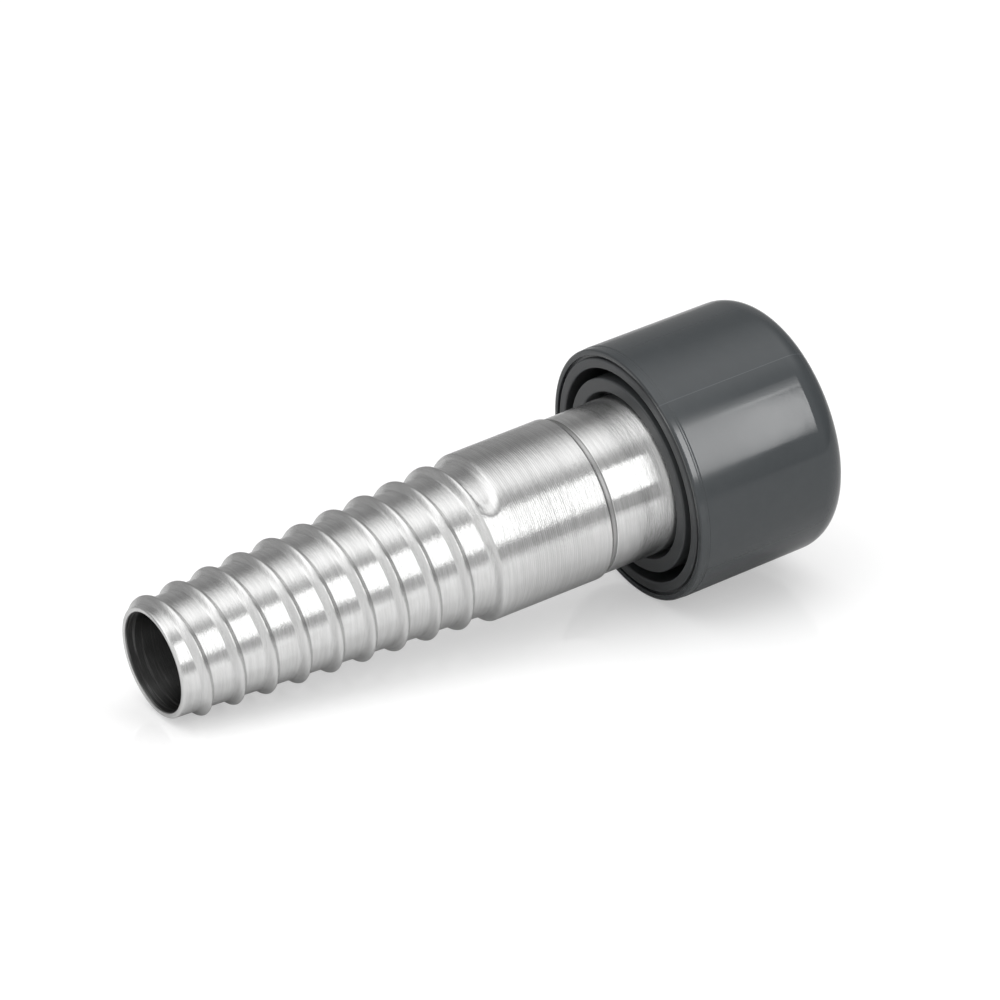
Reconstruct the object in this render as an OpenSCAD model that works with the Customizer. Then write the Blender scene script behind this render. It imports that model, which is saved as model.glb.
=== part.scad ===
// Tapered hose tail with a helical rib, screwed into a solvent-welded pipe collar.
// The part stands on the far end of its collar, with its axis along +Z and its mouth on top.

/* [Hose tail] */
// Length from the mouth to where the groove between the ribs runs out
ribbed_l = 73.8; // [45:0.1:120]
// Length of the smooth shank behind the ribs, up to the turned groove
shank_l = 23.8; // [12:0.1:60]
// Length of the neck between the turned groove and the collar
neck_l = 13.2; // [5:0.1:40]
// Diameter of the flow bore
bore_d = 21; // [12:0.1:24]
// Thickness of the wall under the lands at the mouth
mouth_wall = 1.2; // [1.1:0.05:2.5]
// Step up from the crests of the rib to the shank
crest_step = 0.27; // [0.05:0.01:1]
// Step down from the shank to the neck
shank_step = 0.5; // [0.1:0.05:1]
// Step down from the neck to the thread
neck_step = 0.75; // [0.3:0.05:2]
// Radius of the rounded rim at the mouth
rim_r = 0.5; // [0.2:0.05:0.6]
// Bevel at the inner end of the bore
bore_bevel = 0.6; // [0.2:0.1:1.5]

/* [Rib] */
// Height of the rib above the lands
rib_h = 1.28; // [0.8:0.02:1.3]
// Width of the rib at its foot
rib_w = 2.8; // [2:0.1:3.4]
// Advance of the rib in one turn
rib_pitch = 7.35; // [6:0.05:10]
// Distance of the first crest from the mouth on the +X side
rib_lead_in = 2.65; // [1.8:0.05:3]
// Share of a turn in which the rib rises behind the mouth
leadin_turns = 0.25; // [0.1:0.01:0.5]
// Share of a turn in which the groove rises out of the last land
runout_turns = 0.26; // [0.15:0.01:0.5]
// Distance from the groove's end to the edge of the shank
runout_gap = 1.8; // [1.5:0.1:4]

/* [Turned groove] */
// Width of the groove turned behind the shank
groove_w = 1; // [0.6:0.1:3]
// Depth of that groove below the neck
groove_depth = 0.35; // [0.1:0.05:1]

/* [Thread] */
// Mean diameter of the pipe thread in the bush
thread_d = 31.8; // [28:0.1:40]
// Length of thread in engagement
thread_l = 19; // [12:0.5:22]
// Thickness of the tape that seals the thread
seal_t = 0.2; // [0.1:0.05:0.4]

/* [Threaded bush] */
// Length of the bush
bush_l = 31; // [29:0.5:45]
// Thickness of the outer wall, which is solvent-welded into the collar
bush_wall = 2.15; // [1:0.05:5]
// Width of the moulded hollow between the outer wall and the hub
hollow_w = 2.1; // [1:0.1:5]
// Thickness of the hub at the recess
hub_wall = 2.95; // [1.5:0.05:6]
// Depth of that hollow
hollow_depth = 24; // [10:0.5:26]
// Clear gap between the neck and the recess at the mouth of the hub
neck_gap = 1.15; // [0.3:0.05:3]
// Depth of the recess at the mouth of the hub
recess_depth = 5; // [3:0.1:7]
// Gap left between the end of the neck and the floor of the recess
seat_gap = 0.5; // [0.2:0.1:1]
// Bevel on the edges of the bush
bush_bevel = 0.3; // [0.1:0.05:0.5]

/* [Collar] */
// Thickness of the collar around the bush, at its mouth
collar_wall = 1.95; // [1.3:0.05:6]
// Draft angle of the outside, which narrows to the far end
collar_draft = 0.5; // [0:0.01:1]
// Thickness of the end wall
end_wall = 6; // [6:0.1:12]
// Radius of the rounded far edge
far_edge_r = 6.5; // [1:0.1:7]
// Bevel of the outer edge at the mouth
collar_bevel = 0.7; // [0.2:0.1:0.9]
// Diameter of the port through the end wall
port_d = 25; // [10:0.1:30]
// Bevel of the port's outer edge
port_bevel = 0.8; // [0.2:0.1:1.5]
// Bevel that leads the bush into the collar
socket_bevel = 0.3; // [0.1:0.05:0.5]

/* [Hidden] */
$fn = 96;

steel = "#c9cacb";
pvc = "#55585a";
pvc_inner = "#4c4f51";
tape = "#f1f1ee";

// Heights above the far end of the collar
collar_l = end_wall + bush_l;
z_mouth = collar_l + neck_l + groove_w + shank_l + ribbed_l;
z_groove = collar_l + neck_l;
z_recess = collar_l - recess_depth;
z_neck_end = z_recess + seat_gap;
z_thread_end = z_recess - thread_l;

// Radii
bore_r = bore_d / 2;
thread_r = thread_d / 2;
male_r = thread_r - seal_t;
neck_r = thread_r + neck_step;
shank_r = neck_r + shank_step;
land_mouth_r = bore_r + mouth_wall;
land_end_r = shank_r - crest_step - rib_h;
recess_r = neck_r + neck_gap;
hollow_inner_r = recess_r + hub_wall;
hollow_outer_r = hollow_inner_r + hollow_w;
spigot_r = hollow_outer_r + bush_wall;
collar_r = spigot_r + collar_wall;
thread_bevel = neck_r - male_r;

// The shank begins just behind the point where the groove runs out
shank_start = ribbed_l + runout_gap;
// How far the ends of the rib's crown, and the foot below it, are sunk into the lands
sink = 0.15;
foot = 0.35;
// How far swept pieces reach into the shank, and how far they stay below its surface
shank_overlap = 0.9;
skin = 0.05;
// Distance that the swept rib keeps from the edge of the mouth
mouth_margin = 0.3;
// Steps of the sweep in one turn, and across the rib
turn_steps = 24;
rib_steps = 6;
// Half the width of the crown, which is as wide as rib_w where it leaves the lands
rib_reach = rib_w / 2 * 180 / acos(2 * sink / (rib_h + sink) - 1);

function land_r(u) = land_mouth_r + (land_end_r - land_mouth_r) * u / ribbed_l;
function crest_u(t) = rib_lead_in + rib_pitch * t;
function swell(x) = 0.5 + 0.5 * cos(180 * min(1, abs(x)));
function ramp(x) = x <= 0 ? 0 : x >= 1 ? 1 : x * x * (3 - 2 * x);
function place(u, r, t) = [r * cos(-360 * t), r * sin(-360 * t), z_mouth - u];

// Turns where the rib starts at the mouth, where the groove is closed, and where the rib is
// inside the shank over its whole width
t_first = (2 * mouth_margin - rib_lead_in) / rib_pitch;
t_close = (ribbed_l - rib_pitch / 2 - rib_lead_in) / rib_pitch;
t_last = (shank_start + 2 * rib_reach - rib_lead_in) / rib_pitch;
// The filled groove stops short of a full turn, so that its ends don't meet
fill_turns = 0.96;

// Section of the rib at turn t: the crown from its mouth side to its far side, then the sunk foot
function rib_section(t) =
    let (
        c = crest_u(t),
        near = min(rib_reach, c - mouth_margin),
        h = (rib_h + sink) * ramp((t - t_first) / leadin_turns),
        low = min(0, shank_r - 2 * skin - land_r(c) - rib_h),
        crown = [for (i = [0:rib_steps])
            let (
                x = 2 * i / rib_steps - 1,
                u = c + x * (x < 0 ? near : rib_reach)
            )
            [u, land_r(u) - sink + (h + low) * swell(x)]],
        a = crown[0],
        b = crown[rib_steps]
    )
    concat(crown, [[b[0], b[1] - foot], [a[0], a[1] - foot]]);

// Section of the filled groove at turn t, from the crest to just inside the shank
function runout_section(t) =
    let (
        c = crest_u(t),
        e = shank_start + shank_overlap,
        rise = (rib_h + sink - skin) * ramp((t - t_close) / runout_turns + 1)
    )
    [
        [c, land_r(c) - sink + rise],
        [e, land_r(e) - sink + rise],
        [e, land_r(e) - sink - foot],
        [c, land_r(c) - sink - foot]
    ];

// Closed sweep of a list of sections, one for each turn value
module sweep(sections, turns) {
    n = len(sections[0]);
    m = len(turns);
    points = [for (k = [0:m - 1], p = sections[k]) place(p[0], p[1], turns[k])];
    sides = [for (k = [0:m - 2], i = [0:n - 1])
        [k * n + i, k * n + (i + 1) % n, (k + 1) * n + (i + 1) % n, (k + 1) * n + i]];
    first = [for (i = [n - 1:-1:0]) i];
    last = [for (i = [0:n - 1]) (m - 1) * n + i];
    polyhedron(points, concat(sides, [first, last]), convexity = 10);
}

module rib() {
    steps = ceil((t_last - t_first) * turn_steps);
    turns = [for (k = [0:steps]) t_first + (t_last - t_first) * k / steps];
    sweep([for (t = turns) rib_section(t)], turns);
}

module runout() {
    start = t_close - runout_turns;
    steps = floor(fill_turns * turn_steps);
    turns = [for (k = [0:steps]) start + k / turn_steps];
    sweep([for (t = turns) runout_section(t)], turns);
}

// Points of a quarter circle about c, from angle a to angle b
function arc(c, r, a, b, n = 6) = [for (i = [0:n])
    let (g = a + (b - a) * i / n) c + r * [cos(g), sin(g)]];

module tail_body() {
    step = shank_r - land_r(shank_start) - rib_h;
    rotate_extrude()
        polygon(concat(
            arc([bore_r + rim_r, z_mouth - rim_r], rim_r, 180, 90),
            arc([land_r(rim_r) - rim_r, z_mouth - rim_r], rim_r, 90, 0),
            [
                [land_r(shank_start), z_mouth - shank_start],
                [land_r(shank_start) + rib_h, z_mouth - shank_start],
                [shank_r, z_mouth - shank_start - step],
                [shank_r, z_groove + groove_w + shank_step],
                [neck_r, z_groove + groove_w],
                [neck_r - groove_depth, z_groove + groove_w],
                [neck_r - groove_depth, z_groove],
                [neck_r, z_groove],
                [neck_r, z_neck_end + thread_bevel],
                [male_r, z_neck_end],
                [male_r, z_thread_end + bore_bevel],
                [male_r - bore_bevel, z_thread_end],
                [bore_r + bore_bevel, z_thread_end],
                [bore_r, z_thread_end + bore_bevel]
            ]));
}

module hose_tail() {
    color(steel)
        union() {
            tail_body();
            rib();
            runout();
        }
}

module thread_seal() {
    color(tape)
        rotate_extrude()
            translate([male_r, z_thread_end + bore_bevel])
                square([seal_t, thread_l - bore_bevel]);
}

module threaded_bush() {
    b = bush_bevel;
    color(pvc_inner)
        rotate_extrude()
            polygon([
                [thread_r, end_wall],
                [spigot_r, end_wall],
                [spigot_r, collar_l - b],
                [spigot_r - b, collar_l],
                [hollow_outer_r + b, collar_l],
                [hollow_outer_r, collar_l - b],
                [hollow_outer_r, collar_l - hollow_depth],
                [hollow_inner_r, collar_l - hollow_depth],
                [hollow_inner_r, collar_l - b],
                [hollow_inner_r - b, collar_l],
                [recess_r + b, collar_l],
                [recess_r, collar_l - b],
                [recess_r, z_recess],
                [thread_r, z_recess]
            ]);
}

module collar() {
    taper = tan(collar_draft);
    far_r = collar_r - (collar_l - far_edge_r) * taper;
    color(pvc)
        rotate_extrude()
            polygon(concat(
                [
                    [port_d / 2, end_wall],
                    [port_d / 2, port_bevel],
                    [port_d / 2 + port_bevel, 0]
                ],
                arc([far_r - far_edge_r, far_edge_r], far_edge_r, -90, 0, 12),
                [
                    [collar_r - collar_bevel * taper, collar_l - collar_bevel],
                    [collar_r - collar_bevel, collar_l],
                    [spigot_r + socket_bevel, collar_l],
                    [spigot_r, collar_l - socket_bevel],
                    [spigot_r, end_wall]
                ]));
}

hose_tail();
thread_seal();
threaded_bush();
collar();
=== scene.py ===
"""Looks of a hose insert: a turned steel hose tail with a helical rib, screwed into a plastic
bush that is welded into a round-ended collar. It stands on its collar with its mouth on top."""

import math

import bmesh
import bpy
from bpy.props import FloatProperty, FloatVectorProperty, IntProperty, PointerProperty
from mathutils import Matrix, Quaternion, Vector


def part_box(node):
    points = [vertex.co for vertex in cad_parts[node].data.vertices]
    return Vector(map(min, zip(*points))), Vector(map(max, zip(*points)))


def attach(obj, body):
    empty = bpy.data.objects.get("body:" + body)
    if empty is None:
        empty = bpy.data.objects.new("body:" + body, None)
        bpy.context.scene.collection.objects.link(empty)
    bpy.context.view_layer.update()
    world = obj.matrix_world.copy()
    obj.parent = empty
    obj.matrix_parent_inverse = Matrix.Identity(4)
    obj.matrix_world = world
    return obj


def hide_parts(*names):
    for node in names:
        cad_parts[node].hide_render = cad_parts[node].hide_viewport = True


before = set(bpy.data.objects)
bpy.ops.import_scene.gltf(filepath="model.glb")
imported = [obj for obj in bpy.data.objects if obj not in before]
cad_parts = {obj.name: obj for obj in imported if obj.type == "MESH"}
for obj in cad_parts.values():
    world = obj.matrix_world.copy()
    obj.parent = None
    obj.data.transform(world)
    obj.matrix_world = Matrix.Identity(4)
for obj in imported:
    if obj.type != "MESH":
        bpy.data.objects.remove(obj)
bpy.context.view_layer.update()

bl_info = {
    "name": "Hose insert builder",
    "version": (1, 0, 0),
    "blender": (4, 5, 0),
    "location": "3D View > Sidebar > Hose insert",
    "description": "Models a hose insert with its finishes and a studio stage",
    "category": "Add Mesh",
}

MM = 0.001
TAIL_LOW, TAIL_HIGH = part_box("hose_tail")
BUSH_LOW, BUSH_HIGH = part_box("threaded_bush")
COLLAR_LOW, COLLAR_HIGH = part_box("collar")
# Two places closer than this are the same point
NEAR = 0.002 * MM
# Width of the floor, and how far it reaches in front of the part, in metres
FLOOR_WIDE = 1.6
FLOOR_FRONT = 0.2
# How strongly the floor glows to the camera alone, so that it runs out to white
FLOOR_GLOW = 0.41
# Azimuth of the floor's normal from +X, in degrees
FLOOR_SIDE = -30.9
# Where the part touches the floor near its mouth: past the rib's crest, and down from the mouth
TOUCH_OUT = 0.3 * MM
TOUCH_DOWN = 5.8 * MM
# The middle of the part, which the lamps face
LAMP_AIM = Vector((0, 0, 0.08))
# The key light's angle above the horizon and its height, in degrees
KEY_RAISED = -21
KEY_TALL = 22
# Its distance in metres, and its panel, from one azimuth to another in degrees, with a radiance
KEY_FAR = 1.2
KEY = (-21, 17, 1.5)
# The same for the panels that light the collar alone, with a faint one low and a soft upper edge
KEY_NEAR = 1.1
COLLAR_KEY = (
    (-54, -47, 0.35), (-21, 17.5, 4.1), (18.2, 20.8, 2.6), (21.2, 23.8, 1.7), (24.2, 26.8, 0.9),
)
# The fill light over the floor: distance in metres, width in degrees and radiance
FILL_FAR = 1.6
FILL_WIDE = 74
FILL = 0.6
# The room round the part: each part of it rises between two azimuths, falls between two more,
# and adds its grey to the room's
ROOM_GREY = 0.14
REAR, REAR_GREY = (-135, -100, 105, 135), 0.1
WALLS, WALLS_GREY = (-70, -25, 60, 110), 0.22
CEILING, CEILING_GREY = (28, 52, 56, 106), 0.72
FRONT, FRONT_GREY = (-80, -50, 80, 125), 0.34
ALL_ROUND_GREY = 0.1
# Heights, as the sine of the elevation, between which the room and its front fade in from below
ROOM_RISE = (-0.95, -0.6)
FRONT_RISE = (-0.2, 0.1)
# Patterns on the steel, in repeats for each metre across, along and up the part
MARKS = (480, 480, 2100)
FINE_MARKS = (900, 900, 7000)
BLOTCHES = (260, 260, 520)
STREAKS = (90, 90, 1700)
# BORE_RINGS are lighter rings within the painted shade of the bore
BORE_RINGS = (60, 60, 1900)
# Depth of the marks, and the depth, pitch and reach of the lathe's lines behind the ribs
MARK_DEEP = 0.055 * MM
LATHE_DEEP = 0.006 * MM
LATHE_PITCH = 0.45 * MM
LATHE_LONG = 16 * MM
# Length and depth of the curved root where the neck meets the collar
ROOT_LONG = 6 * MM
ROOT_DEEP = 0.8 * MM
# The parting line along the collar, from one azimuth to another in degrees
PARTING = (23.2, 23.5)
# Distance of a holding ring from the end of a long face
HOLD = 0.12 * MM
# Distance of a ring from the rib's foot, and heights of the rings that hold the shank's edge
FOOT_RING = 0.12 * MM
EDGE_RINGS = (-0.15 * MM, -0.05 * MM, 0.05 * MM, 0.15 * MM)
# How far the swept skin reaches past the shank's start
SKIRT = 2 * MM
# Softening of the turned corners, and length of the slope from the shank down to the neck
SOFT = 0.15 * MM
SLOPE = 0.5 * MM
# How far the neck reaches into the bush, and the bevel at both edges of the tail's hidden end
NECK_IN = 4.5 * MM
END_BEVEL = 0.6 * MM
# Depth in the bore where the tail's two turned parts meet, and the gap that is bridged there
JOIN_DEEP = 12 * MM
JOIN_GAP = 4 * MM
# How far the pocket at the rib's end has filled where it stops, and how soon its side closes
SHOAL_FILL = 0.65
CLOSING = 3
# The wide plastic rings have this many steps more than the tail's
MORE_STEPS = 32
# Rounding of the bush's edges and of the weld channel's, and the bevel round the port
BUSH_EDGE = 0.35 * MM
CHANNEL_EDGE = 0.15 * MM
PORT_BEVEL = 0.8 * MM


def length(name, description, value):
    """A length that a user can change, in metres."""
    return FloatProperty(
        name=name, description=description, default=value, unit="LENGTH", precision=5
    )


def share(name, description, value):
    """A plain number that a user can change."""
    return FloatProperty(name=name, description=description, default=value)


def colour(name, description, value):
    """A linear colour that a user can change."""
    return FloatVectorProperty(
        name=name, description=description, default=value, subtype="COLOR", min=0, max=1
    )


class HoseTailSizes(bpy.types.PropertyGroup):
    """Sizes of the turned tail."""

    ribbed: length("Ribbed length", "Mouth to where the groove runs out", 73.8 * MM)
    bore: length("Bore radius", "Radius of the flow bore", 10.5 * MM)
    land_mouth: length("Land at mouth", "Radius of the lands at the mouth", 11.7 * MM)
    land_end: length("Land at end", "Radius of the lands at the run-out", 15.6 * MM)
    shank: length("Shank radius", "Radius of the smooth shank", 17.15 * MM)
    neck: length("Neck radius", "Radius of the neck behind the turned groove", 16.65 * MM)
    thread: length("Thread radius", "Radius of the threaded end", 15.7 * MM)
    rim: length("Rim radius", "Rounding of the wall at the mouth", 0.5 * MM)
    rib_high: length("Rib height", "Height of the rib above the lands", 1.28 * MM)
    rib_reach: length("Rib reach", "Half the width of the rib's full crown", 1.77 * MM)
    rib_sunk: length("Rib sunk", "How far the crown's ends lie below the lands", 0.15 * MM)
    pitch: length("Pitch", "Advance of the rib in one turn", 7.35 * MM)
    lead_in: length("Lead-in", "Distance of the first crest from the mouth", 2.65 * MM)
    shank_start: length("Shank start", "Middle of the slope up to the shank", 75.2 * MM)
    groove_wide: length("Groove width", "Width of the turned groove", 1.0 * MM)
    groove_deep: length("Groove depth", "Depth of the groove below the neck", 0.35 * MM)
    groove_high: length("Groove height", "Lower edge of the turned groove", 50.2 * MM)
    turns_in: share("Lead-in turns", "Turns over which the rib rises", 0.25)
    turns_out: share("Run-out turns", "Turns over which the rib rises to the shank", 0.26)
    pocket_end: length("Pocket end", "Depth of the crest where the pocket ends", 70.38 * MM)
    pocket_turns: share("Pocket turns", "Turns over which the pocket closes", 0.05)
    shoal_turns: share("Shoal turns", "Turns over which the pocket grows shallow", 0.2)
    wall_wide: length("Wall width", "Width of the groove's far wall", 1.6 * MM)


class PlasticSizes(bpy.types.PropertyGroup):
    """Sizes of the moulded bush and collar."""

    end_wall: length("End wall", "Thickness of the collar's end wall", 6.0 * MM)
    thread: length("Thread radius", "Mean radius of the bush's thread", 15.9 * MM)
    recess: length("Recess radius", "Radius of the recess round the neck", 17.8 * MM)
    hollow_in: length("Hollow inner radius", "Inner wall of the hollow", 20.75 * MM)
    hollow_out: length("Hollow outer radius", "Outer wall of the hollow", 22.85 * MM)
    spigot: length("Spigot radius", "Radius of the welded joint", 25.0 * MM)
    collar: length("Collar radius", "Radius of the collar at its mouth", 26.95 * MM)
    port: length("Port radius", "Radius of the port", 12.5 * MM)
    hollow_deep: length("Hollow depth", "Depth of the moulded hollow", 24.0 * MM)
    recess_deep: length("Recess depth", "Depth of the recess", 5.0 * MM)
    far_edge: length("Far edge radius", "Rounding of the collar's far edge", 6.5 * MM)
    bevel: length("Collar bevel", "Bevel at the collar's mouth", 0.7 * MM)
    edge: length("Mouth edge", "Rounding of the collar's mouth", 0.45 * MM)
    bevel_long: length("Bevel length", "Length of the shallow bevel", 1.1 * MM)
    bevel_deep: length("Bevel depth", "How far the shallow bevel draws in", 0.12 * MM)
    hair: length("Hairline", "Depth of the hairline behind the bevel", 0.06 * MM)
    channel_wide: length("Channel width", "Width of the weld channel", 0.6 * MM)
    channel_deep: length("Channel depth", "Depth of the weld channel", 0.8 * MM)
    draft: FloatProperty(
        name="Draft",
        description="Draft angle of the collar's outside",
        default=math.radians(0.5),
        subtype="ANGLE",
    )


class FinishColours(bpy.types.PropertyGroup):
    """Colours of the finishes, linear."""

    steel: colour("Steel", "Turned stainless steel", (0.83, 0.83, 0.825))
    collar: colour("Collar", "Glossy dark grey plastic", (0.0415, 0.046, 0.049))
    bush: colour("Bush", "Satin dark grey plastic", (0.05, 0.053, 0.055))
    tape: colour("Tape", "White sealing tape", (0.85, 0.85, 0.82))
    floor: colour("Floor", "Pale floor", (0.72, 0.72, 0.72))


class MeshDetail(bpy.types.PropertyGroup):
    """How finely the pieces are meshed."""

    around: IntProperty(
        name="Steps around", description="Steps in one turn", default=240, min=24
    )
    crown: IntProperty(name="Crown steps", description="Steps across the rib", default=16, min=6)
    land: IntProperty(name="Land steps", description="Steps across a land", default=12, min=2)


class CameraPlace(bpy.types.PropertyGroup):
    """Place of the camera that takes the photograph's view."""

    aim: FloatVectorProperty(
        name="Aim", description="Point that the camera looks at",
        default=(0.0048, 0.0, 0.0654), unit="LENGTH", precision=5,
    )
    distance: length("Distance", "Distance from the aim", 1.9008)
    raised: FloatProperty(
        name="Elevation", description="Angle above the horizon",
        default=math.radians(25.57), subtype="ANGLE",
    )
    roll: FloatProperty(
        name="Roll", description="Turn about the line of sight",
        default=math.radians(-111.46), subtype="ANGLE",
    )
    lens: FloatProperty(name="Lens", description="Focal length in mm", default=342.0)


class Wire:
    """A socket that carries a number, with Math nodes behind the arithmetic."""

    def __init__(self, recipe, socket):
        self.recipe = recipe
        self.socket = socket

    def _math(self, operation, *values):
        return self.recipe.node(
            "ShaderNodeMath", {"operation": operation}, dict(enumerate(values))
        )

    def __add__(self, other):
        return self._math("ADD", self, other)

    def __radd__(self, other):
        return self._math("ADD", other, self)

    def __sub__(self, other):
        return self._math("SUBTRACT", self, other)

    def __rsub__(self, other):
        return self._math("SUBTRACT", other, self)

    def __mul__(self, other):
        return self._math("MULTIPLY", self, other)

    def __rmul__(self, other):
        return self._math("MULTIPLY", other, self)

    def __pow__(self, other):
        return self._math("POWER", self, other)


class Recipe:
    """The node tree of one material, lamp or world."""

    def __init__(self, owner):
        owner.use_nodes = True
        self.tree = owner.node_tree
        self.tree.nodes.clear()

    def node(self, kind, settings=None, values=None, out=0):
        """Adds a node, sets its settings and then its sockets, and returns one output."""
        made = self.tree.nodes.new(kind)
        for key, value in (settings or {}).items():
            setattr(made, key, value)
        for key, value in (values or {}).items():
            self._feed(made.inputs[key], value)
        return Wire(self, made.outputs[out]) if made.outputs else made

    def _feed(self, socket, value):
        if isinstance(value, Wire):
            self.tree.links.new(value.socket, socket)
        else:
            socket.default_value = value

    def mapped(self, scale, place=(0, 0, 0)):
        """Object coordinates with the pattern's scale along each axis."""
        where = self.node("ShaderNodeTexCoord", out="Object")
        return self.node(
            "ShaderNodeMapping", {}, {"Vector": where, "Scale": scale, "Location": place}
        )

    def noise(self, scale, detail=2.0, rough=0.5, place=(0, 0, 0)):
        """A noise value about 0.5, stretched by the three scales."""
        return self.node(
            "ShaderNodeTexNoise", {},
            {
                "Vector": self.mapped(scale, place),
                "Scale": 1.0, "Detail": detail, "Roughness": rough,
            },
            out="Fac",
        )

    def mix(self, factor, first, second):
        """Two colours mixed."""
        return self.node(
            "ShaderNodeMix", {"data_type": "RGBA"}, {0: factor, 6: first, 7: second}, out=2
        )

    def split(self, vector):
        """The three parts of a vector."""
        parts = self.node("ShaderNodeSeparateXYZ", {}, {"Vector": vector})
        return [Wire(self, socket) for socket in parts.socket.node.outputs]

    def ease(self, value, low, high):
        """0 up to one value, 1 from another, and an even S between."""
        return self.node(
            "ShaderNodeMapRange", {"interpolation_type": "SMOOTHSTEP"},
            {"Value": value, "From Min": low, "From Max": high},
        )

    def span(self, value, low, risen, falling, high):
        """Rises from 0 to 1 between two values, and falls back between two more."""
        return self.ease(value, low, risen) * (1 - self.ease(value, falling, high))

    def band(self, value, low, high, soft):
        """1 between two values and 0 outside, with soft edges."""
        return self.span(value, low - soft, low + soft, high - soft, high + soft)

    def azimuth(self, across, along):
        """Angle round the part's axis in degrees, from the camera's side."""
        turn = self.node("ShaderNodeMath", {"operation": "ARCTAN2"}, {0: across, 1: 0 - along})
        return turn * math.degrees(1)

    def bump(self, height, distance, strength=1.0):
        """A normal that follows a height."""
        return self.node(
            "ShaderNodeBump", {},
            {"Height": height, "Distance": distance, "Strength": strength}, out="Normal",
        )

    def surface(self, shader, kind="ShaderNodeOutputMaterial"):
        """Links a shader to the tree's output."""
        self.node(kind, {}, {"Surface": shader})


def rgba(plain, level=1.0):
    """A colour at a level of itself, with full alpha."""
    return tuple(level * part for part in plain) + (1.0,)


def steel_finish(scene):
    """Satin steel with the fine marks of the lathe running round it, and painted shade in its
    groove and its bore.
    """
    made = bpy.data.materials.new("steel_finish")
    recipe = Recipe(made)
    colours, sizes = scene.finish_colours, scene.hose_tail_sizes
    across, along, height = recipe.split(recipe.mapped((1, 1, 1)))
    away = (across * across + along * along) ** 0.5
    # The bore's mask: painted shade and a rougher finish inside the bore
    bore = 1 - recipe.ease(away, sizes.bore + 0.05 * MM, sizes.bore + 0.3 * MM)
    neck = 1 - recipe.ease(height, sizes.groove_high, sizes.groove_high + 2 * MM)
    # The groove's mask: painted shade and a rougher finish in the turned groove
    groove = recipe.band(
        height, sizes.groove_high, sizes.groove_high + sizes.groove_wide, 0.06 * MM
    )
    marks = recipe.noise(MARKS, 3.0, 0.6)
    fine = recipe.noise(FINE_MARKS, 2.0, 0.6, (1, 2, 3))
    shank = TAIL_HIGH.z - sizes.shank_start
    turned = recipe.band(height, shank - LATHE_LONG, shank, LATHE_LONG / 4)
    lines = recipe.node(
        "ShaderNodeMath", {"operation": "SINE"}, {0: height * (math.tau / LATHE_PITCH)}
    )
    root = recipe.node(
        "ShaderNodeMath", {"operation": "MAXIMUM"}, {0: COLLAR_HIGH.z + ROOT_LONG - height, 1: 0}
    )
    root = root * (1 / ROOT_LONG)
    relief = (MARK_DEEP * marks + 0.3 * MARK_DEEP * fine) * (1 - 0.5 * neck)
    relief = relief + ROOT_DEEP * root * root + LATHE_DEEP * turned * lines
    blotch = recipe.noise(BLOTCHES, 3.0, 0.65)
    streak = recipe.ease(recipe.noise(STREAKS, 3.0, 0.7, (3, 1, 2)), 0.3, 0.7)
    # Lighter turned rings near the mouth, within the bore's painted shade
    rings = recipe.ease(recipe.noise(BORE_RINGS, 2.0, 0.6, (5, 5, 5)), 0.5, 0.7)
    rings = rings * recipe.ease(height, TAIL_HIGH.z - 8 * MM, TAIL_HIGH.z - 2 * MM)
    tone = recipe.mix(streak, rgba(colours.steel, 0.86), rgba(colours.steel))
    tone = recipe.mix(0.1 * turned * (lines + 1), tone, rgba(colours.steel, 0.3))
    # Painted shade: the turned groove drawn darker
    tone = recipe.mix(0.5 * groove, tone, rgba(colours.steel, 0.45))
    # Painted shade: the bore's steel drawn dark, lighter at its rings
    dark = recipe.mix(rings, rgba(colours.steel, 0.18), rgba(colours.steel, 0.55))
    tone = recipe.mix(bore, tone, dark)
    shader = recipe.node(
        "ShaderNodeBsdfPrincipled", {},
        {
            "Base Color": tone,
            "Metallic": 1.0,
            "Roughness": 0.18 + 0.12 * blotch - 0.03 * neck + 0.2 * groove + 0.12 * bore,
            "Anisotropic": 0.92,
            "Anisotropic Rotation": 0.25,
            "Normal": recipe.bump(relief, 1.0),
        },
    )
    recipe.surface(shader)
    return made


def collar_finish(scene):
    """The collar's glossy moulded plastic, with a faint uneven skin and a parting line."""
    made = bpy.data.materials.new("collar_finish")
    recipe = Recipe(made)
    colours = scene.finish_colours
    skin = recipe.noise((300, 300, 300), 3.0, 0.6)
    across, along, height = recipe.split(recipe.mapped((1, 1, 1)))
    parting = recipe.band(recipe.azimuth(across, along), *PARTING, 0.12)
    tone = recipe.mix(skin, rgba(colours.collar, 0.92), rgba(colours.collar, 1.06))
    tone = recipe.mix(0.3 * parting, tone, rgba(colours.collar, 3))
    mouth = recipe.ease(height, COLLAR_HIGH.z - 24 * MM, COLLAR_HIGH.z - 4 * MM)
    shader = recipe.node(
        "ShaderNodeBsdfPrincipled", {},
        {
            "Base Color": tone,
            "Roughness": 0.07 + 0.05 * skin + 0.1 * mouth,
            "Normal": recipe.bump(skin + 0.5 * parting, 0.00002, 0.3),
        },
    )
    recipe.surface(shader)
    return made


def bush_finish(scene):
    """The bush's plastic, duller than the collar's."""
    made = bpy.data.materials.new("bush_finish")
    recipe = Recipe(made)
    colours = scene.finish_colours
    skin = recipe.noise((500, 500, 500), 3.0, 0.6)
    tone = recipe.mix(skin, rgba(colours.bush, 0.9), rgba(colours.bush, 1.08))
    shader = recipe.node(
        "ShaderNodeBsdfPrincipled", {},
        {"Base Color": tone, "Roughness": 0.38 + 0.1 * skin},
    )
    recipe.surface(shader)
    return made


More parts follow.
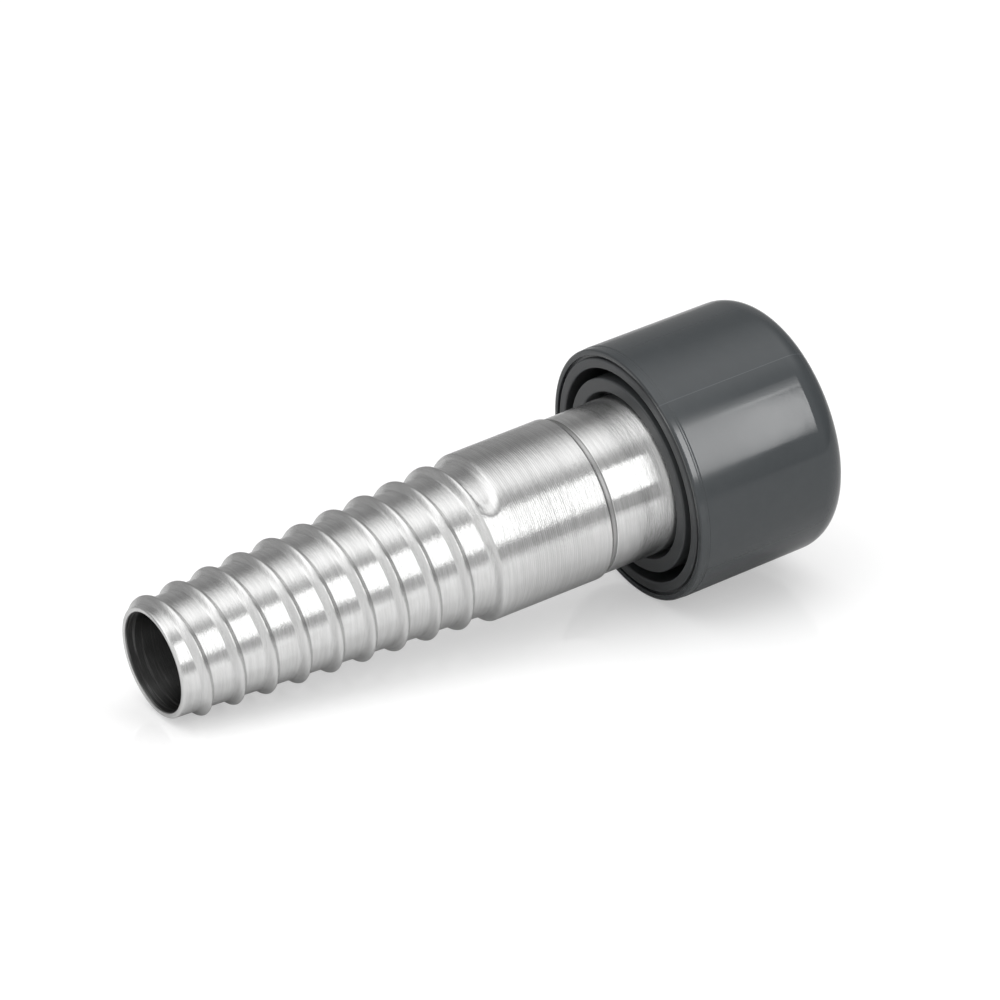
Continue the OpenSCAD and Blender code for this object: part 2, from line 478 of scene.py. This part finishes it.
def tape_finish(scene):
    """White tape wound on the thread, with the edges of its turns."""
    made = bpy.data.materials.new("tape_finish")
    recipe = Recipe(made)
    colours = scene.finish_colours
    wound = recipe.noise((60, 60, 1500), 2.0, 0.5)
    tone = recipe.mix(wound, rgba(colours.tape, 0.85), rgba(colours.tape))
    shader = recipe.node(
        "ShaderNodeBsdfPrincipled", {},
        {
            "Base Color": tone, "Roughness": 0.5 + 0.1 * wound,
            "Normal": recipe.bump(wound, 0.00005, 0.5),
        },
    )
    recipe.surface(shader)
    return made


FINISHES = {
    "steel_finish": steel_finish,
    "collar_finish": collar_finish,
    "bush_finish": bush_finish,
    "tape_finish": tape_finish,
}


def finish_of(name, context):
    """The named finish, made once."""
    if name not in bpy.data.materials:
        FINISHES[name](context.scene)
    return bpy.data.materials[name]


def dress(piece, finish, context):
    """Gives a piece its finish."""
    piece.data.materials.clear()
    piece.data.materials.append(finish_of(finish, context))


def select_none():
    """Leaves object mode with nothing selected."""
    if bpy.context.object and bpy.context.object.mode == "EDIT":
        bpy.ops.object.mode_set(mode="OBJECT")
    bpy.ops.object.select_all(action="DESELECT")


def new_piece(name):
    """The object just added, named, with its place applied to its mesh."""
    piece = bpy.context.object
    piece.name = name
    bpy.ops.object.transform_apply(location=True, rotation=True, scale=True)
    return piece


def start_ring(name, radius, height, steps):
    """Adds a circle about the axis and opens it for editing, with all its edges selected."""
    select_none()
    bpy.ops.mesh.primitive_circle_add(
        vertices=steps, radius=radius, fill_type="NOTHING", location=(0, 0, height)
    )
    piece = new_piece(name)
    bpy.ops.object.mode_set(mode="EDIT")
    bpy.ops.mesh.select_all(action="SELECT")
    return piece


def held(here, points):
    """Adds rings near both ends of each long face, so that it stays plain between them."""
    rings = []
    for there in points:
        run = math.dist(here, there)
        if run > 8 * HOLD:
            for part in (HOLD / run, 1 - HOLD / run):
                rings.append(tuple(a + (b - a) * part for a, b in zip(here, there)))
        rings.append(there)
        here = there
    return rings


def turn_profile(here, points):
    """Extrudes the selected ring from place to place, each a radius and a height."""
    for there in held(here, points):
        bpy.ops.mesh.extrude_region_move(
            TRANSFORM_OT_translate={"value": (0, 0, there[1] - here[1])}
        )
        scale = there[0] / here[0]
        bpy.ops.transform.resize(
            value=(scale, scale, 1), center_override=(0, 0, there[1])
        )
        here = there


def arc(centre, radius, start, end, steps):
    """Places on a quarter circle, from one angle to another in degrees."""
    angles = [math.radians(start + (end - start) * i / steps) for i in range(1, steps + 1)]
    return [
        (centre[0] + radius * math.cos(a), centre[1] + radius * math.sin(a)) for a in angles
    ]


def close_up(piece, angle=35.0):
    """Merges doubles, turns the faces outwards and shades all but the sharp edges smooth."""
    bpy.ops.mesh.select_all(action="SELECT")
    bpy.ops.mesh.remove_doubles(threshold=NEAR / 2)
    bpy.ops.mesh.normals_make_consistent(inside=False)
    bpy.ops.object.mode_set(mode="OBJECT")
    bpy.ops.object.select_all(action="DESELECT")
    piece.select_set(True)
    bpy.context.view_layer.objects.active = piece
    bpy.ops.object.shade_smooth_by_angle(angle=math.radians(angle))
    bpy.ops.object.select_all(action="DESELECT")


def smooth_step(value):
    """0 below 0, 1 above 1, and an even S between."""
    value = min(1.0, max(0.0, value))
    return value * value * (3 - 2 * value)


class RibbedSkin:
    """The outside of the ribbed length, as a radius for each depth and angle."""

    def __init__(self, sizes):
        self.sizes = sizes
        s = sizes
        self.first = (0.6 * MM - s.lead_in) / s.pitch
        self.closed = (s.ribbed - s.pitch / 2 - s.lead_in) / s.pitch
        self.pocket = (s.pocket_end - s.lead_in) / s.pitch

    def land(self, depth):
        """Radius of the land at a depth from the mouth."""
        s = self.sizes
        return s.land_mouth + (s.land_end - s.land_mouth) * depth / s.ribbed

    def filled(self, turn):
        """How far the rib has risen to the shank at one of its turns, from 0 to 1."""
        return smooth_step((turn - self.closed) / self.sizes.turns_out + 1)

    def walled(self, depth, turn):
        """How far the groove behind a turn of the rib is filled: it ends in a round pocket."""
        s = self.sizes
        gone = max(0.0, 1 + (turn - self.pocket) / s.pocket_turns)
        crest = s.lead_in + s.pitch * turn
        half = max(s.wall_wide, (s.shank_start - crest) / 2)
        across = (depth - s.shank_start) / half + 1
        if across < 0:
            across *= min(1.0, CLOSING * gone)
        inside = 1 - smooth_step((math.hypot(across, gone) - 1) * half / s.wall_wide + 0.5)
        shoal = smooth_step(1 + (turn - self.pocket) / s.shoal_turns)
        return 1 - inside * (1 - SHOAL_FILL * shoal)

    def radius(self, depth, angle):
        """Radius at a depth from the mouth and an angle in radians."""
        s = self.sizes
        part = (-angle / math.tau) % 1.0
        rows = (depth - s.lead_in) / s.pitch - part
        near = part + round(rows)
        before = part + math.floor(rows + 1e-6)
        across = depth - s.lead_in - s.pitch * near
        land = self.land(depth)
        rise = smooth_step((near - self.first) / s.turns_in)
        full = s.shank - self.land(s.lead_in + s.pitch * near)
        high = rise * (s.rib_high + (full - s.rib_high) * self.filled(near))
        crown = 0.0
        reach = s.rib_reach
        if across < 0:
            reach = max(NEAR, min(reach, depth - across - s.rim))
        if abs(across) < reach:
            swell = 0.5 + 0.5 * math.cos(math.pi * across / reach)
            crown = max(0.0, (high + s.rib_sunk * rise) * swell - s.rib_sunk)
        fill = (s.shank - land) * self.walled(depth, before)
        return min(s.shank, land + max(crown, fill))


class TAIL_OT_build(bpy.types.Operator):
    """Model the turned hose tail with its helical rib"""

    bl_idname = "hose_insert.tail"
    bl_label = "Hose tail"

    def execute(self, context):
        sizes = context.scene.hose_tail_sizes
        detail = context.scene.mesh_detail
        piece = self.sweep_rib(sizes, detail)
        self.trim(sizes)
        self.shape(piece, sizes)
        self.close_ends(piece, sizes)
        close_up(piece)
        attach(piece, "root")
        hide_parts("hose_tail")
        dress(piece, "steel_finish", context)
        return {"FINISHED"}

    def sweep_rib(self, sizes, detail):
        """Sweeps one pitch of land and rib round the axis, from below the shank's edge up."""
        select_none()
        turns = math.ceil((sizes.shank_start + sizes.pitch) / sizes.pitch) + 1
        crest = TAIL_HIGH.z - sizes.lead_in - (turns - 1) * sizes.pitch
        foot = self.foot(sizes)
        stops = [foot * (2 * i / detail.crown - 1) for i in range(detail.crown + 1)]
        stops += [foot + FOOT_RING]
        wide = sizes.pitch - 2 * (foot + FOOT_RING)
        lands = range(1, detail.land + 1)
        stops += [foot + FOOT_RING + wide * i / detail.land for i in lands]
        stops += [sizes.pitch - foot]
        start = crest + stops[0]
        bpy.ops.mesh.primitive_plane_add(size=MM, location=(sizes.shank, 0, start))
        piece = new_piece("hose_tail_turned")
        bpy.ops.object.mode_set(mode="EDIT")
        bpy.ops.mesh.select_all(action="SELECT")
        bpy.ops.mesh.merge(type="CENTER")
        for lower, upper in zip(stops, stops[1:]):
            bpy.ops.mesh.extrude_region_move(
                TRANSFORM_OT_translate={"value": (0, 0, upper - lower)}
            )
        bpy.ops.object.mode_set(mode="OBJECT")
        screw = piece.modifiers.new("rib", "SCREW")
        screw.axis = "Z"
        screw.angle = math.tau
        screw.screw_offset = sizes.pitch
        screw.iterations = turns + 2
        screw.steps = detail.around
        screw.render_steps = detail.around
        screw.use_merge_vertices = False
        bpy.ops.object.modifier_apply(modifier=screw.name)
        bpy.ops.object.mode_set(mode="EDIT")
        bpy.ops.mesh.select_all(action="SELECT")
        bpy.ops.mesh.remove_doubles(threshold=NEAR)
        return piece

    @staticmethod
    def foot(sizes):
        """Half the width of the rib where it leaves the land."""
        s = sizes
        return s.rib_reach * math.acos(2 * s.rib_sunk / (s.rib_high + s.rib_sunk) - 1) / math.pi

    def trim(self, sizes):
        """Cuts the swept skin square at both ends, and rings it where the shank begins."""
        top = TAIL_HIGH.z - sizes.rim
        bottom = TAIL_HIGH.z - sizes.shank_start - SKIRT
        for height, cut in ((top, "clear_outer"), (bottom, "clear_inner")):
            bpy.ops.mesh.select_all(action="SELECT")
            bpy.ops.mesh.bisect(
                plane_co=(0, 0, height), plane_no=(0, 0, 1), threshold=NEAR / 4, **{cut: True}
            )
        for offset in EDGE_RINGS:
            bpy.ops.mesh.select_all(action="SELECT")
            bpy.ops.mesh.bisect(
                plane_co=(0, 0, TAIL_HIGH.z - sizes.shank_start + offset),
                plane_no=(0, 0, 1), threshold=NEAR / 4,
            )

    def shape(self, piece, sizes):
        """Moves the swept skin in to the lands, the rib and its run-out."""
        skin = RibbedSkin(sizes)
        mesh = bmesh.from_edit_mesh(piece.data)
        for vertex in mesh.verts:
            x, y, z = vertex.co
            radius = skin.radius(TAIL_HIGH.z - z, math.atan2(y, x))
            scale = radius / math.hypot(x, y)
            vertex.co = (x * scale, y * scale, z)
        bmesh.update_edit_mesh(piece.data)

    @staticmethod
    def select_edge_ring(piece, height):
        """Selects the open edges that lie at a height."""
        bpy.ops.mesh.select_all(action="DESELECT")
        bpy.ops.mesh.select_mode(type="EDGE")
        mesh = bmesh.from_edit_mesh(piece.data)
        for edge in mesh.edges:
            if edge.is_boundary and all(abs(v.co.z - height) < NEAR for v in edge.verts):
                edge.select_set(True)
        bmesh.update_edit_mesh(piece.data)

    def close_ends(self, piece, sizes):
        """Turns the rim and the rest of the tail, and joins the two inside the bore."""
        s = sizes
        top = TAIL_HIGH.z - s.rim
        bottom = TAIL_HIGH.z - s.shank_start - SKIRT
        join = TAIL_HIGH.z - JOIN_DEEP
        self.select_edge_ring(piece, top)
        outer = (RibbedSkin(s).land(s.rim) - s.rim, top)
        inner = (s.bore + s.rim, top)
        turn_profile(
            (RibbedSkin(s).land(s.rim), top),
            arc(outer, s.rim, 0, 90, 5) + arc(inner, s.rim, 90, 180, 5) + [(s.bore, join)],
        )
        self.select_edge_ring(piece, bottom)
        groove = s.groove_high + s.groove_wide
        bevel = s.neck - s.thread
        low = TAIL_LOW.z
        neck_end = BUSH_HIGH.z - NECK_IN
        turn_profile(
            (s.shank, bottom),
            [
                (s.shank, groove + SLOPE + SOFT),
                (s.shank - SOFT / 3, groove + SLOPE),
                (s.neck + SOFT / 3, groove + SOFT / 3),
                (s.neck - SOFT / 3, groove - SOFT / 3),
                (s.neck - s.groove_deep, groove - SOFT),
                (s.neck - s.groove_deep, s.groove_high + SOFT),
                (s.neck - SOFT / 3, s.groove_high + SOFT / 3),
                (s.neck, s.groove_high - SOFT / 3),
                (s.neck, neck_end + bevel),
                (s.thread, neck_end),
                (s.thread, low + END_BEVEL),
                (s.thread - END_BEVEL, low),
                (s.bore + END_BEVEL, low),
                (s.bore, low + END_BEVEL),
                (s.bore, join - JOIN_GAP),
            ],
        )
        self.select_edge_ring(piece, join)
        mesh = bmesh.from_edit_mesh(piece.data)
        for edge in mesh.edges:
            if edge.is_boundary:
                edge.select_set(True)
        bmesh.update_edit_mesh(piece.data)
        bpy.ops.mesh.bridge_edge_loops()


class BUSH_OT_build(bpy.types.Operator):
    """Model the threaded bush with its moulded hollow"""

    bl_idname = "hose_insert.bush"
    bl_label = "Threaded bush"

    def execute(self, context):
        s = context.scene.plastic_sizes
        steps = context.scene.mesh_detail.around + MORE_STEPS
        top, low = BUSH_HIGH.z, BUSH_LOW.z
        r = BUSH_EDGE
        floor = top - s.hollow_deep
        seat = top - s.recess_deep
        start = (s.thread, low)
        piece = start_ring("threaded_bush_moulded", *start, steps)
        points = [(s.spigot, low), (s.spigot, top - r)]
        points += arc((s.spigot - r, top - r), r, 0, 90, 3)
        points += [(s.hollow_out + r, top)]
        points += arc((s.hollow_out + r, top - r), r, 90, 180, 3)
        points += [(s.hollow_out, floor), (s.hollow_in, floor), (s.hollow_in, top - r)]
        points += arc((s.hollow_in - r, top - r), r, 0, 90, 4)
        points += [(s.recess + r, top)]
        points += arc((s.recess + r, top - r), r, 90, 180, 4)
        points += [(s.recess, seat), (s.thread, seat), start]
        turn_profile(start, points)
        close_up(piece)
        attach(piece, "root")
        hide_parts("threaded_bush")
        dress(piece, "bush_finish", context)
        return {"FINISHED"}


class COLLAR_OT_build(bpy.types.Operator):
    """Model the collar with its rounded far edge and port"""

    bl_idname = "hose_insert.collar"
    bl_label = "Collar"

    def execute(self, context):
        s = context.scene.plastic_sizes
        steps = context.scene.mesh_detail.around + MORE_STEPS
        top, low = COLLAR_HIGH.z, COLLAR_LOW.z
        taper = math.tan(s.draft)
        far = s.collar - (top - s.far_edge) * taper
        start = (s.spigot, s.end_wall)
        piece = start_ring("collar_moulded", *start, steps)
        points = self.mouth(s, top)
        points += [(far, s.far_edge + 0.01 * MM)]
        points += arc((far - s.far_edge, low + s.far_edge), s.far_edge, 0, -90, 14)
        points += [(s.port + PORT_BEVEL, low), (s.port, low + PORT_BEVEL)]
        points += [(s.port, s.end_wall), start]
        turn_profile(start, points)
        close_up(piece)
        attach(piece, "root")
        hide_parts("collar")
        bpy.data.collections["flagged"].objects.link(piece)
        dress(piece, "collar_finish", context)
        return {"FINISHED"}

    @staticmethod
    def mouth(s, top):
        """The weld channel, the face, the shallow bevel and the hairline at the mouth."""
        r = CHANNEL_EDGE
        wall = s.spigot + s.channel_wide
        face = s.collar - s.bevel_deep - s.edge
        low = top - s.edge
        line = low - s.bevel_long
        points = [(s.spigot, top - s.channel_deep), (wall, top - s.channel_deep)]
        points += [(wall, top - r)]
        points += arc((wall + r, top - r), r, 180, 90, 3)
        points += [(face, top)]
        points += arc((face, low), s.edge, 90, 8, 5)
        points += [(s.collar - s.hair, line)]
        points += [(s.collar - 1.6 * s.hair, line - s.hair)]
        points += [(s.collar - 0.8 * s.hair, line - 3 * s.hair)]
        points += [(s.collar - 1.8 * s.hair, line - 9 * s.hair)]
        points += [(s.collar - 0.3 * s.hair, line - 11 * s.hair)]
        return points


class SEAL_OT_dress(bpy.types.Operator):
    """Give the tape in the thread its finish"""

    bl_idname = "hose_insert.seal"
    bl_label = "Thread seal"

    def execute(self, context):
        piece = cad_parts["thread_seal"]
        piece.data.materials.clear()
        piece.data.materials.append(finish_of("tape_finish", context))
        return {"FINISHED"}


def lie_of_part(sizes, plastics):
    """The floor that the part lies on in the photograph: its normal, and a point on it."""
    touch_mouth = (
        sizes.land_mouth + sizes.rib_high + TOUCH_OUT, TAIL_HIGH.z - TOUCH_DOWN
    )
    touch_collar = (plastics.collar, COLLAR_HIGH.z - plastics.bevel)
    tilt = math.atan2(touch_collar[0] - touch_mouth[0], touch_mouth[1] - touch_collar[1])
    side = math.radians(FLOOR_SIDE)
    normal = Vector((
        math.cos(side) * math.cos(tilt), math.sin(side) * math.cos(tilt), -math.sin(tilt)
    ))
    away = touch_collar[0] * math.cos(tilt) + touch_collar[1] * math.sin(tilt)
    return normal, -away * normal


class STAGE_OT_build(bpy.types.Operator):
    """Set up the floor, the studio light and the camera"""

    bl_idname = "hose_insert.stage"
    bl_label = "Stage"

    def execute(self, context):
        scene = context.scene
        normal, foot = lie_of_part(scene.hose_tail_sizes, scene.plastic_sizes)
        self.floor(context, normal, foot)
        self.lamps(context, normal)
        self.world(context)
        self.camera(context)
        scene.view_settings.view_transform = "Standard"
        return {"FINISHED"}

    def floor(self, context, normal, foot):
        """A wide pale floor that is seen from its upper side only."""
        select_none()
        front = Vector((normal.y, -normal.x, 0)).normalized()
        middle = foot - front * (FLOOR_WIDE / 2 - FLOOR_FRONT)
        bpy.ops.mesh.primitive_plane_add(size=FLOOR_WIDE, location=middle)
        floor = bpy.context.object
        floor.name = "floor"
        floor.rotation_mode = "QUATERNION"
        floor.rotation_quaternion = normal.to_track_quat("Z", "Y")
        bpy.ops.object.transform_apply(location=True, rotation=True, scale=True)
        made = bpy.data.materials.new("pale_floor")
        recipe = Recipe(made)
        colours = context.scene.finish_colours
        base = recipe.node(
            "ShaderNodeBsdfPrincipled", {},
            {"Base Color": rgba(colours.floor), "Roughness": 0.06, "Specular IOR Level": 1.0},
        )
        glow = recipe.node(
            "ShaderNodeEmission", {},
            {"Color": (1, 1, 1, 1), "Strength": FLOOR_GLOW},
        )
        seen = recipe.node("ShaderNodeLightPath", out="Is Camera Ray")
        lit = recipe.node("ShaderNodeAddShader", {}, {0: base, 1: glow})
        face = recipe.node("ShaderNodeMixShader", {}, {0: seen, 1: base, 2: lit})
        behind = recipe.node("ShaderNodeNewGeometry", out="Backfacing")
        clear = recipe.node("ShaderNodeBsdfTransparent")
        recipe.surface(
            recipe.node("ShaderNodeMixShader", {}, {0: behind * seen, 1: face, 2: clear})
        )
        floor.data.materials.append(made)

    def lamps(self, context, normal):
        """A key light for all, one for the collar alone, and a wide fill over the floor."""
        bpy.data.collections.new("flagged")
        for distance, strips in ((KEY_FAR, (KEY,)), (KEY_NEAR, COLLAR_KEY)):
            for first, last, radiance in strips:
                way = self.toward((first + last) / 2, KEY_RAISED)
                angles = (last - first, KEY_TALL)
                lamp = self.softbox(context, "key", way, distance, angles, radiance, True)
                if strips is COLLAR_KEY:
                    lamp.light_linking.receiver_collection = bpy.data.collections["flagged"]
        self.softbox(context, "fill", normal, FILL_FAR, (FILL_WIDE, FILL_WIDE), FILL, False)

    @staticmethod
    def toward(azimuth, elevation):
        """Direction from the part, with azimuth 0 toward the camera's side."""
        a, e = math.radians(azimuth), math.radians(elevation)
        return Vector((math.sin(a) * math.cos(e), -math.cos(a) * math.cos(e), math.sin(e)))

    @staticmethod
    def softbox(context, name, direction, distance, angles, radiance, mirrored):
        """An area lamp as wide and tall as two angles say, and as bright as its radiance."""
        size = [2 * distance * math.tan(math.radians(angle) / 2) for angle in angles]
        lamp = bpy.data.lights.new(name, "AREA")
        lamp.shape = "RECTANGLE"
        lamp.size, lamp.size_y = size
        lamp.energy = radiance * 4 * size[0] * size[1]
        holder = bpy.data.objects.new(name, lamp)
        context.scene.collection.objects.link(holder)
        holder.location = LAMP_AIM + direction.normalized() * distance
        holder.rotation_mode = "QUATERNION"
        holder.rotation_quaternion = direction.to_track_quat("Z", "Y")
        holder.visible_glossy = mirrored
        holder.visible_camera = False
        return holder

    def world(self, context):
        """White to the camera; to the part a grey room with a lit ceiling over the floor."""
        world = bpy.data.worlds.new("studio")
        context.scene.world = world
        recipe = Recipe(world)
        way = recipe.node("ShaderNodeTexCoord", out="Generated")
        across, along, height = recipe.split(way)
        turn = recipe.azimuth(across, along)
        rear = 1 - recipe.span(turn, *REAR)
        walls, ceiling = recipe.span(turn, *WALLS), recipe.span(turn, *CEILING)
        sides = WALLS_GREY * walls + CEILING_GREY * ceiling
        above = recipe.ease(height, *ROOM_RISE)
        front = recipe.span(turn, *FRONT) * recipe.ease(height, *FRONT_RISE)
        grey = ROOM_GREY + REAR_GREY * rear + above * (ALL_ROUND_GREY + sides)
        grey = grey + FRONT_GREY * front
        seen = recipe.node("ShaderNodeLightPath", out="Is Camera Ray")
        recipe.surface(
            recipe.node(
                "ShaderNodeBackground", {},
                {"Color": (1, 1, 1, 1), "Strength": grey + seen * (1 - grey)},
            ),
            "ShaderNodeOutputWorld",
        )

    def camera(self, context):
        """The camera at the photograph's viewing angle."""
        place = context.scene.camera_place
        back = self.toward(0, math.degrees(place.raised))
        data = bpy.data.cameras.new("camera")
        data.sensor_width = 36
        data.lens = place.lens
        data.clip_start, data.clip_end = 0.05, 20
        camera = bpy.data.objects.new("camera", data)
        context.scene.collection.objects.link(camera)
        camera.location = Vector(place.aim) + back * place.distance
        camera.rotation_mode = "QUATERNION"
        level = (-back).to_track_quat("-Z", "Y")
        camera.rotation_quaternion = level @ Quaternion((0, 0, 1), place.roll)
        context.scene.camera = camera


class PANEL_PT_hose_insert(bpy.types.Panel):
    """Lists the pieces of the hose insert"""

    bl_idname = "PANEL_PT_hose_insert"
    bl_label = "Hose insert"
    bl_space_type = "VIEW_3D"
    bl_region_type = "UI"
    bl_category = "Hose insert"

    def draw(self, context):
        layout = self.layout
        for step in STEPS:
            layout.operator(step.bl_idname)
        for _, group in GROUPS:
            settings = getattr(context.scene, group)
            for name in settings.bl_rna.properties.keys():
                if name not in ("rna_type", "name"):
                    layout.prop(settings, name)


GROUPS = (
    (HoseTailSizes, "hose_tail_sizes"),
    (PlasticSizes, "plastic_sizes"),
    (FinishColours, "finish_colours"),
    (MeshDetail, "mesh_detail"),
    (CameraPlace, "camera_place"),
)
# The stage comes first, because the collar joins the collection that its own lamps light
STEPS = (STAGE_OT_build, TAIL_OT_build, SEAL_OT_dress, BUSH_OT_build, COLLAR_OT_build)


def register():
    """Registers the sizes, the steps and the panel."""
    for group, name in GROUPS:
        bpy.utils.register_class(group)
        setattr(bpy.types.Scene, name, PointerProperty(type=group))
    for step in STEPS + (PANEL_PT_hose_insert,):
        bpy.utils.register_class(step)


def unregister():
    """Takes back what register added."""
    for step in (PANEL_PT_hose_insert,) + STEPS[::-1]:
        bpy.utils.unregister_class(step)
    for group, name in GROUPS[::-1]:
        delattr(bpy.types.Scene, name)
        bpy.utils.unregister_class(group)


def main():
    """Builds everything in order."""
    register()
    bpy.ops.hose_insert.stage()
    bpy.ops.hose_insert.tail()
    bpy.ops.hose_insert.seal()
    bpy.ops.hose_insert.bush()
    bpy.ops.hose_insert.collar()


if __name__ == "__main__":
    main()
